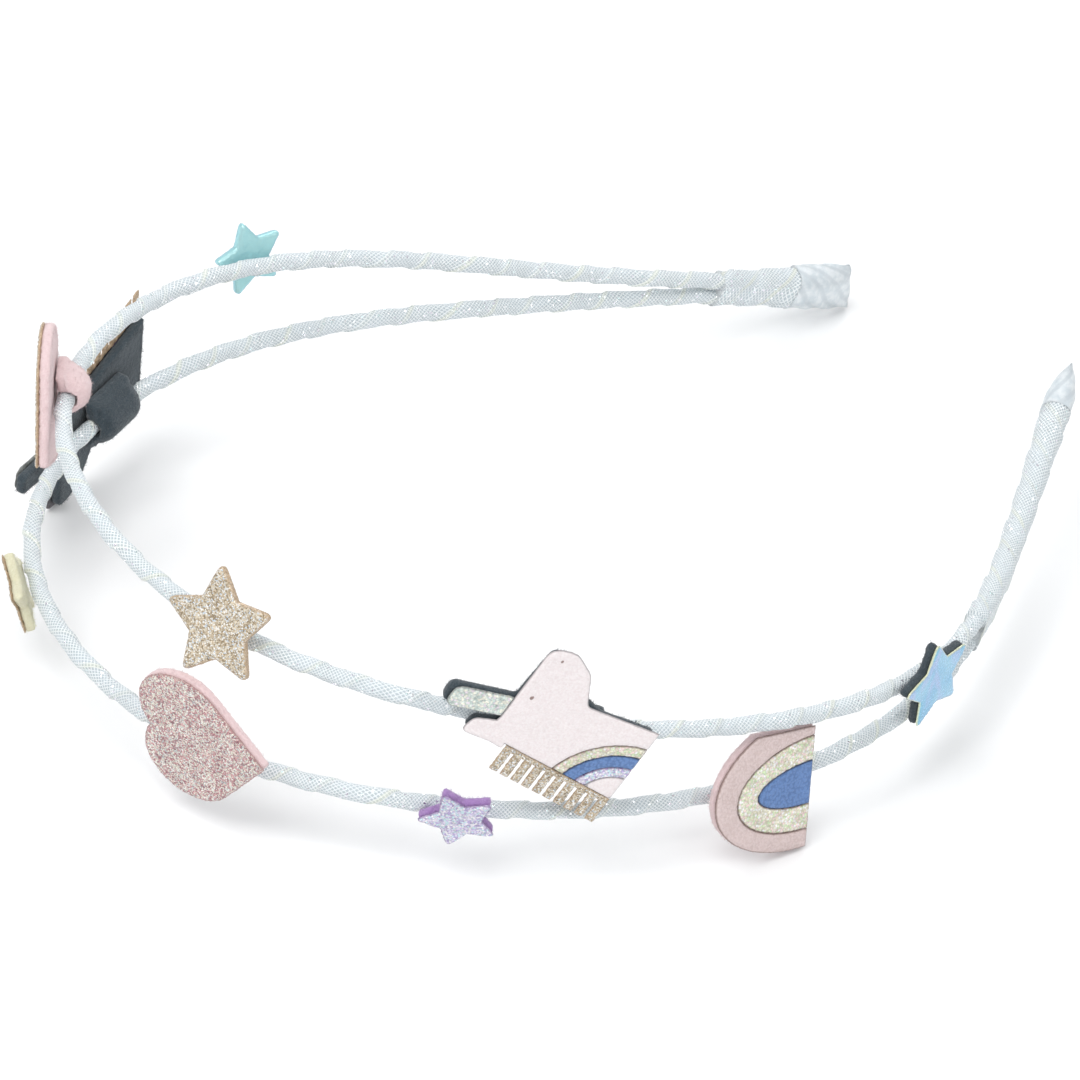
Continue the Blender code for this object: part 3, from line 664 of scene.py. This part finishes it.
def fuzz(verts, faces, chart, count):
    """Adds fine fibres round the felt's rim: closed, bent, three-sided and rooted in the felt."""
    points = np.array([tuple(v) for v in verts])
    corners = np.array([f[:3] for f in faces])
    corners = corners[np.array([chart[i][0] for i in corners[:, 0]]) < RIM_REACH]
    a, b, c = (points[corners[:, i]] for i in range(3))
    across = np.cross(b - a, c - a)
    area = np.linalg.norm(across, axis=1)
    picks = random.choice(len(corners), count, p=area / area.sum())
    mix = random.dirichlet((1, 1, 1), count)
    starts = a[picks] * mix[:, :1] + b[picks] * mix[:, 1:2] + c[picks] * mix[:, 2:]
    normals = across[picks] / area[picks, None]
    ways = random.normal(0, 1, (count, 3))
    made_verts, made_faces, made_chart = list(verts), list(faces), list(chart)
    for start, normal, way in zip(starts, normals, ways):
        lie = way - way.dot(normal) * normal
        lie /= np.linalg.norm(lie)
        side = np.cross(normal, lie) * FIBRE_WIDTH / 2
        reach = FIBRE_LENGTH * random.uniform(0.5, 1.3)
        middle = start + reach * (0.45 * normal + 0.35 * lie)
        end = start + reach * (0.55 * normal + 0.9 * lie) * random.uniform(0.7, 1.0)
        back = FIBRE_WIDTH * (0.5 * normal - 0.7 * lie)
        first = len(made_verts)
        for centre in (start - FIBRE_ROOT * normal, middle):
            made_verts += [tuple(centre + corner) for corner in (-side, side, back)]
        made_verts.append(tuple(end))
        made_faces.append((first, first + 2, first + 1))
        for k in range(3):
            low, after = first + k, first + (k + 1) % 3
            made_faces += [(low, after, after + 3, low + 3), (low + 3, after + 3, first + 6)]
        made_chart += [(2.0, 0.5)] * 7
    return made_verts, made_faces, made_chart


def layer(node, charm, look, fibres=0, **shape):
    """One layer of a charm, standing for the CAD node of the same name."""
    verts, faces, chart = plate(node, charm, **shape)
    if fibres:
        verts, faces, chart = fuzz(verts, faces, chart, fibres)
    return finished(node + "_dressed", verts, faces, chart, look, [node], TO_ROW @ charm)


def felted(node, which, look, fibres):
    """A felt patch: the CAD shape drawn snugly round its wire, with softened edges and loose fibres."""
    bm = bmesh.new()
    bm.from_mesh(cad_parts[node].data)
    bmesh.ops.transform(bm, matrix=TO_ROW.inverted(), verts=bm.verts)
    bmesh.ops.remove_doubles(bm, verts=bm.verts, dist=0.002)
    for _ in range(5):
        long = [e for e in bm.edges if e.calc_length() > PATCH_CELL]
        if not long:
            break
        bmesh.ops.subdivide_edges(bm, edges=long, cuts=1)
        bmesh.ops.triangulate(bm, faces=[f for f in bm.faces if len(f.verts) > 3])
    every_axis = {"use_axis_x": True, "use_axis_y": True, "use_axis_z": True}
    for _ in range(2):
        bmesh.ops.smooth_vert(bm, verts=bm.verts, factor=0.4, **every_axis)
    bm.verts.index_update()
    line = np.array([tuple(band.point(place, which)) for place in np.arange(*PATCH_LINE)])
    reaches = [np.linalg.norm(line - np.array(v.co), axis=1) for v in bm.verts]
    along = [reach.argmin() for reach in reaches]
    first, last = min(along), max(along)
    verts = []
    for v, reach, at in zip(bm.verts, reaches, along):
        nearest = Vector(line[at])
        share = SNUG / reach[at] if reach[at] < CHANNEL else 1.0
        end = max(0.0, 1 - min(at - first, last - at) * PATCH_LINE[2] / PINCH)
        if CHANNEL < reach[at] < PINCHED:
            share = 1 - SQUEEZE * end**2
        rough = Vector(random.normal(0, PATCH_ROUGH, 3))
        verts.append(tuple(nearest + (v.co - nearest) * share + rough))
    faces = [tuple(v.index for v in f.verts) for f in bm.faces]
    bm.free()
    chart = [(0.5, 0.5)] * len(verts)
    verts, faces, chart = fuzz(verts, faces, chart, fibres)
    return finished(node + "_dressed", verts, faces, chart, look, [node])


WIRE_ENDS = (FAR_WRAP[1] - 1.0, NEAR_WRAP[0] + 1.0)  # the wires run on into their bindings
for which in ("upper", "lower"):
    sweep("wire_" + which + "_dressed", which, WIRE_ENDS,
          lambda share, place: circle(WIRE_RADIUS, WIRE_SIDES),
          wound(*WIRE_RELIEF), WIRE_STEP, "ribbon", ["wire_" + which])


def wrap_section(share, place):
    return stadium(band.at(place)[3], WRAP_RADIUS + WRAP_SWELL * share**2)


sweep("wrap_far_dressed", "middle", FAR_WRAP, lambda share, place: wrap_section(1 - share, place),
      wound(*FAR_RELIEF), WRAP_STEP, "ribbon", ["wrap_far"], laps=2)
sweep("wrap_near_dressed", "middle", NEAR_WRAP, wrap_section,
      wound(*NEAR_RELIEF), WRAP_STEP, "ribbon", ["wrap_near"], laps=2)
sweep("tip_far_dressed", "middle", FAR_TIP, lambda share, place: tip_section(1 - share, place),
      pleated(FAR_PLEAT, PLEATS, PLEAT_LEAN), TIP_STEP, "satin", ["tip_far"], slant=TIP_SLANT)
sweep("tip_near_dressed", "middle", NEAR_TIP, tip_section,
      pleated(NEAR_PLEAT, PLEATS, PLEAT_LEAN), TIP_STEP, "satin", ["tip_near"])

FELT_SHAPE = {"rise": FELT_RISE}
FACE_SHAPE = {"soft": 0.16, "rough": 0.012, "rise": -FACE_DROP, "grow": FACE_GROW}
FLAKY_SHAPE = {**FACE_SHAPE, "rough": 0.035}
THIN_SHAPE = {**FLAKY_SHAPE, "rise": -0.2}  # for a face whose solid is already thin
SHEET_SHAPE = {"soft": 0.16, "rough": 0.03}

UNICORN_LAYERS = (
    ("face", "pearl_pink", FACE_SHAPE),
    ("horn", "glitter_pearl", FLAKY_SHAPE),
    ("mane", "glitter_gold", FLAKY_SHAPE),
    ("band_yellow", "glitter_yellow", FLAKY_SHAPE),
    ("band_blue", "leather_blue", FACE_SHAPE),
    ("band_lilac", "glitter_lilac", FLAKY_SHAPE),
    ("corner", "pearl_pink", FACE_SHAPE),
)
SMALL_FIBRES, RAINBOW_FIBRES, UNICORN_FIBRES = 700, 900, 2600
PATCH_FIBRES = 900

# Charms of two layers: look of the back, look and shape of the face
PAIRS = {
    "blue_star": ("felt_charcoal", "foil_blue", FACE_SHAPE),
    "purple_star": ("felt_purple", "glitter_lilac", FLAKY_SHAPE),
    "yellow_star": ("felt_pale_yellow", "glitter_gold", THIN_SHAPE),
    "rose_heart": ("felt_pale_pink", "glitter_rose", FLAKY_SHAPE),
    "side_heart": ("felt_pale_pink", "glitter_gold", FLAKY_SHAPE),
}
for name, (back, face, shape) in PAIRS.items():
    charm = charm_matrix(name, name + "_back")
    layer(name + "_back", charm, back, SMALL_FIBRES, **FELT_SHAPE)
    layer(name + "_face", charm, face, **shape)
for name, look in (("gold_star", "glitter_gold"), ("cyan_star", "pearl_cyan")):
    layer(name, charm_matrix(name, name), look, **SHEET_SHAPE)

charm = charm_matrix("rainbow", "rainbow_back")
layer("rainbow_back", charm, "felt_pale_pink", RAINBOW_FIBRES, **FELT_SHAPE)
layer("rainbow_pink", charm, "leather_dusty_pink", **FACE_SHAPE)
layer("rainbow_yellow", charm, "glitter_yellow", **FLAKY_SHAPE)
layer("rainbow_blue", charm, "leather_blue", **FACE_SHAPE)


def mark(name, charm, at, size, look):
    """A small raised oval on a unicorn's face, closed underneath."""
    top, shoulder, foot = MARK_HEIGHTS
    verts = [(at[0], at[1], top)]
    for radius, z in ((0.5, shoulder), (1.0, foot)):
        verts += [(at[0] + size[0] * radius * cos(a), at[1] + size[1] * radius * sin(a), z)
                  for a in (2 * pi * i / MARK_SIDES for i in range(MARK_SIDES))]
    faces = []
    for i in range(MARK_SIDES):
        a, b = 1 + i, 1 + (i + 1) % MARK_SIDES
        faces += [(0, a, b), (a, a + MARK_SIDES, b + MARK_SIDES, b)]
    faces.append(tuple(range(2 * MARK_SIDES, MARK_SIDES, -1)))
    return finished(name, verts, faces, [(0.0, 1.0)] * len(verts), look, [], TO_ROW @ charm)


for name in ("unicorn", "unicorn_2"):
    charm = charm_matrix(name, name + "_felt")
    layer(name + "_felt", charm, "felt_charcoal", UNICORN_FIBRES, grow=-FELT_INSET, **FELT_SHAPE)
    for part, look, shape in UNICORN_LAYERS:
        layer(name + "_" + part, charm, look, **shape)
    felted(name + "_patch", PLACES[name][0], "felt_charcoal", PATCH_FIBRES)
    mark(name + "_eye", charm, EYE, EYE_SIZE, "leather_dusty_pink")
    mark(name + "_nostril", charm, NOSTRIL, NOSTRIL_SIZE, "leather_dusty_pink")
felted("side_heart_patch", "upper", "felt_pale_pink", SMALL_FIBRES)


# Stage

FLOOR_REACH, FLOOR_HEIGHT = 3.0, -0.0002  # m
FLOOR_COLOUR = (0.9, 0.9, 0.9, 1.0)
WORLD_COLOUR, WORLD_STRENGTH = (0.96, 0.98, 1.0, 1.0), 0.6
SENSOR_WIDTH, CLIP = 36.0, (0.1, 20.0)

# Lamps: name, azimuth and elevation in degrees, distance and size in m, power in W
LAMPS = (
    ("key", -75.0, 60.0, 1.1, 0.7, 6.8),
    ("fill", 20.0, 45.0, 1.3, 1.0, 3.6),
    ("rim", 150.0, 40.0, 1.2, 0.6, 3.6),
)


def plain_floor():
    mesh = bpy.data.meshes.new("floor")
    corners = ((-1, -1), (1, -1), (1, 1), (-1, 1))
    verts = [(x * FLOOR_REACH, y * FLOOR_REACH, FLOOR_HEIGHT) for x, y in corners]
    mesh.from_pydata(verts, [], [(0, 1, 2, 3)])
    floor_piece = bpy.data.objects.new("floor", mesh)
    bpy.context.scene.collection.objects.link(floor_piece)
    paint = bpy.data.materials.new("Floor")
    paint.use_nodes = True
    shader = paint.node_tree.nodes["Principled BSDF"]
    shader.inputs["Base Color"].default_value = FLOOR_COLOUR
    shader.inputs["Roughness"].default_value = 0.9
    shader.inputs["Specular IOR Level"].default_value = 0.1
    mesh.materials.append(paint)


def way_to(azimuth, elevation):
    az, el = radians(azimuth), radians(elevation)
    return Vector((cos(el) * cos(az), cos(el) * sin(az), sin(el)))


def lamp(name, azimuth, elevation, distance, size, power):
    data = bpy.data.lights.new(name, "AREA")
    data.shape = "DISK"
    data.size = size
    data.energy = power
    piece = bpy.data.objects.new(name, data)
    bpy.context.scene.collection.objects.link(piece)
    way = way_to(azimuth, elevation)
    piece.location = way * distance
    piece.rotation_euler = way.to_track_quat("Z", "Y").to_euler()


def camera():
    back = way_to(AZIMUTH, ELEVATION)
    level = way_to(AZIMUTH + 90, 0)
    turned = Matrix((level, back.cross(level), back)).transposed() @ Matrix.Rotation(radians(ROLL), 3, "Z")
    data = bpy.data.cameras.new("camera")
    data.lens = LENS
    data.sensor_width = SENSOR_WIDTH
    data.clip_start, data.clip_end = CLIP
    piece = bpy.data.objects.new("camera", data)
    bpy.context.scene.collection.objects.link(piece)
    piece.matrix_world = Matrix.Translation((Vector(AIM) + DISTANCE * back) * MM) @ turned.to_4x4()
    bpy.context.scene.camera = piece


plain_floor()
for row in LAMPS:
    lamp(*row)
world = bpy.data.worlds.new("studio")
bpy.context.scene.world = world
world.use_nodes = True
world.node_tree.nodes["Background"].inputs[0].default_value = WORLD_COLOUR
world.node_tree.nodes["Background"].inputs[1].default_value = WORLD_STRENGTH
bpy.context.scene.view_settings.view_transform = "Standard"
camera()
